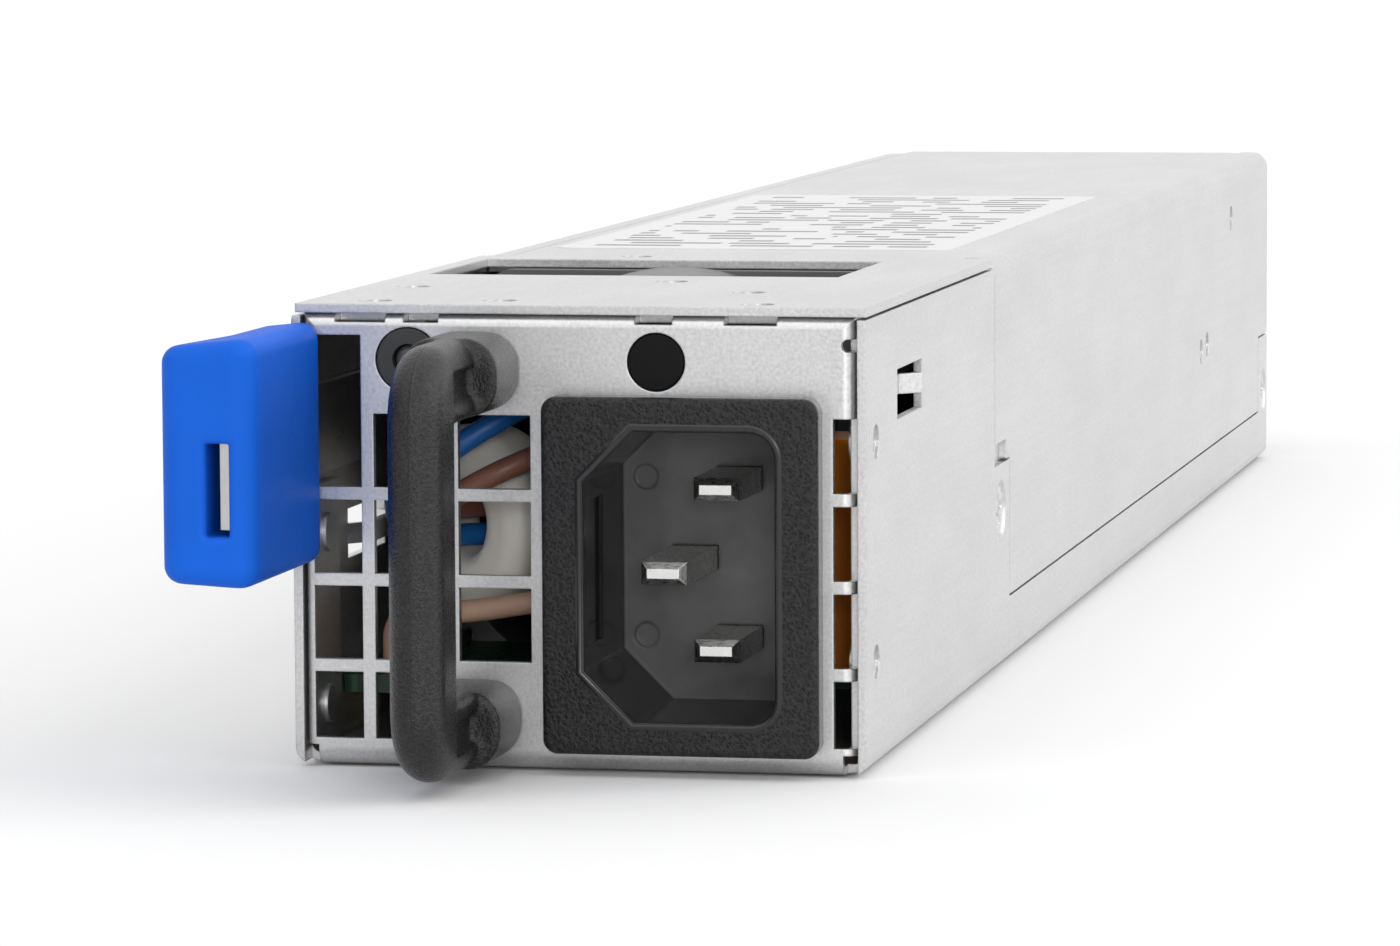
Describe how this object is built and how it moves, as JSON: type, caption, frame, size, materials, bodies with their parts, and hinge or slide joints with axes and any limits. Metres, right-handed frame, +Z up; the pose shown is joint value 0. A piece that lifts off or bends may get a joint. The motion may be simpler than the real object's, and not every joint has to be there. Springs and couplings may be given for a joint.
{
  "type": "switching power supply",
  "caption": "Long slide-in switching power supply: folded steel case with grille panel, mains inlet, pull handle, blue release latch, internal fan and a card edge at the rear.",
  "frame": {"origin": "middle of the base face of the case", "axes": "+X to the right seen from the panel, +Y into the case towards the card edge, +Z up"},
  "size_m": [0.056, 0.332, 0.0402],
  "materials": {
    "case_steel": "zinc-plated sheet, satin",
    "screw_steel": "zinc-plated",
    "inlet_black": "grained moulding",
    "pin_metal": "nickel-plated",
    "handle_black": "fine grain",
    "window_black": "smoked",
    "holder_white": "moulded",
    "led_lens": "clear lens",
    "spring_steel": "rolled strip",
    "tab_blue": "moulded",
    "fan_black": "moulded",
    "shaft_steel": "ground",
    "bearing_brass": "sintered",
    "copper_wire": "enamelled wire",
    "board_green": "solder mask",
    "film_clear": "insulating film",
    "standoff_metal": "turned",
    "core_cream": "epoxy coat",
    "ferrite": "ferrite",
    "capacitor_orange": "moulded",
    "capacitor_sleeve": "shrink sleeve",
    "sink_aluminium": "extruded",
    "device_black": "moulded",
    "relay_blue": "moulded",
    "tape_yellow": "tape",
    "wire_blue": "sleeve",
    "wire_brown": "sleeve",
    "wire_tan": "sleeve",
    "wire_green": "sleeve"
  },
  "bodies": {
    "case": {"chassis": "case_steel", "top_cover": "case_steel", "case_screws": "screw_steel", "handle_screws": "screw_steel", "board_screws": "screw_steel", "latch_rivets": "screw_steel", "inlet_housing": "inlet_black", "line_pin": "pin_metal", "neutral_pin": "pin_metal", "earth_pin": "pin_metal", "handle": "handle_black", "status_window": "window_black", "led_holder": "holder_white", "status_led": "led_lens", "latch_foot": "spring_steel", "fan_frame": "fan_black", "fan_bearing": "bearing_brass", "fan_stator": "copper_wire", "choke_winding": "copper_wire", "inductor_winding": "copper_wire", "filter_board": "board_green", "main_board": "board_green", "control_board": "board_green", "insulator_sheet": "film_clear", "board_standoffs": "standoff_metal", "toroid_core": "core_cream", "choke_core": "ferrite", "inductor_core": "ferrite", "transformer_core": "ferrite", "x_capacitor": "capacitor_orange", "bulk_capacitors": "capacitor_sleeve", "output_capacitors": "capacitor_sleeve", "first_heatsink": "sink_aluminium", "second_heatsink": "sink_aluminium", "power_devices": "device_black", "relay": "relay_blue", "transformer_winding": "tape_yellow", "neutral_wire": "wire_blue", "link_wire_neutral": "wire_blue", "line_wire": "wire_brown", "link_wire_line": "wire_brown", "loop_wire": "wire_tan", "earth_wire": "wire_green"},
    "latch": {"latch_arm": "spring_steel", "release_tab": "tab_blue"},
    "rotor": {"fan_rotor": "fan_black", "fan_shaft": "shaft_steel"}
  },
  "joints": [
    {"name": "latch_press", "type": "hinge", "parent": "case", "child": "latch", "pos_m": [-0.02375, -0.116, 0.0291], "axis": [0, 0, 1], "range_deg": [0, 4.2], "stiffness_Nm_per_rad": 6},
    {"name": "fan_spin", "type": "hinge", "parent": "case", "child": "rotor", "pos_m": [-0.0038, -0.0985, 0.0203], "axis": [0, 1, 0], "continuous": true}
  ]
}
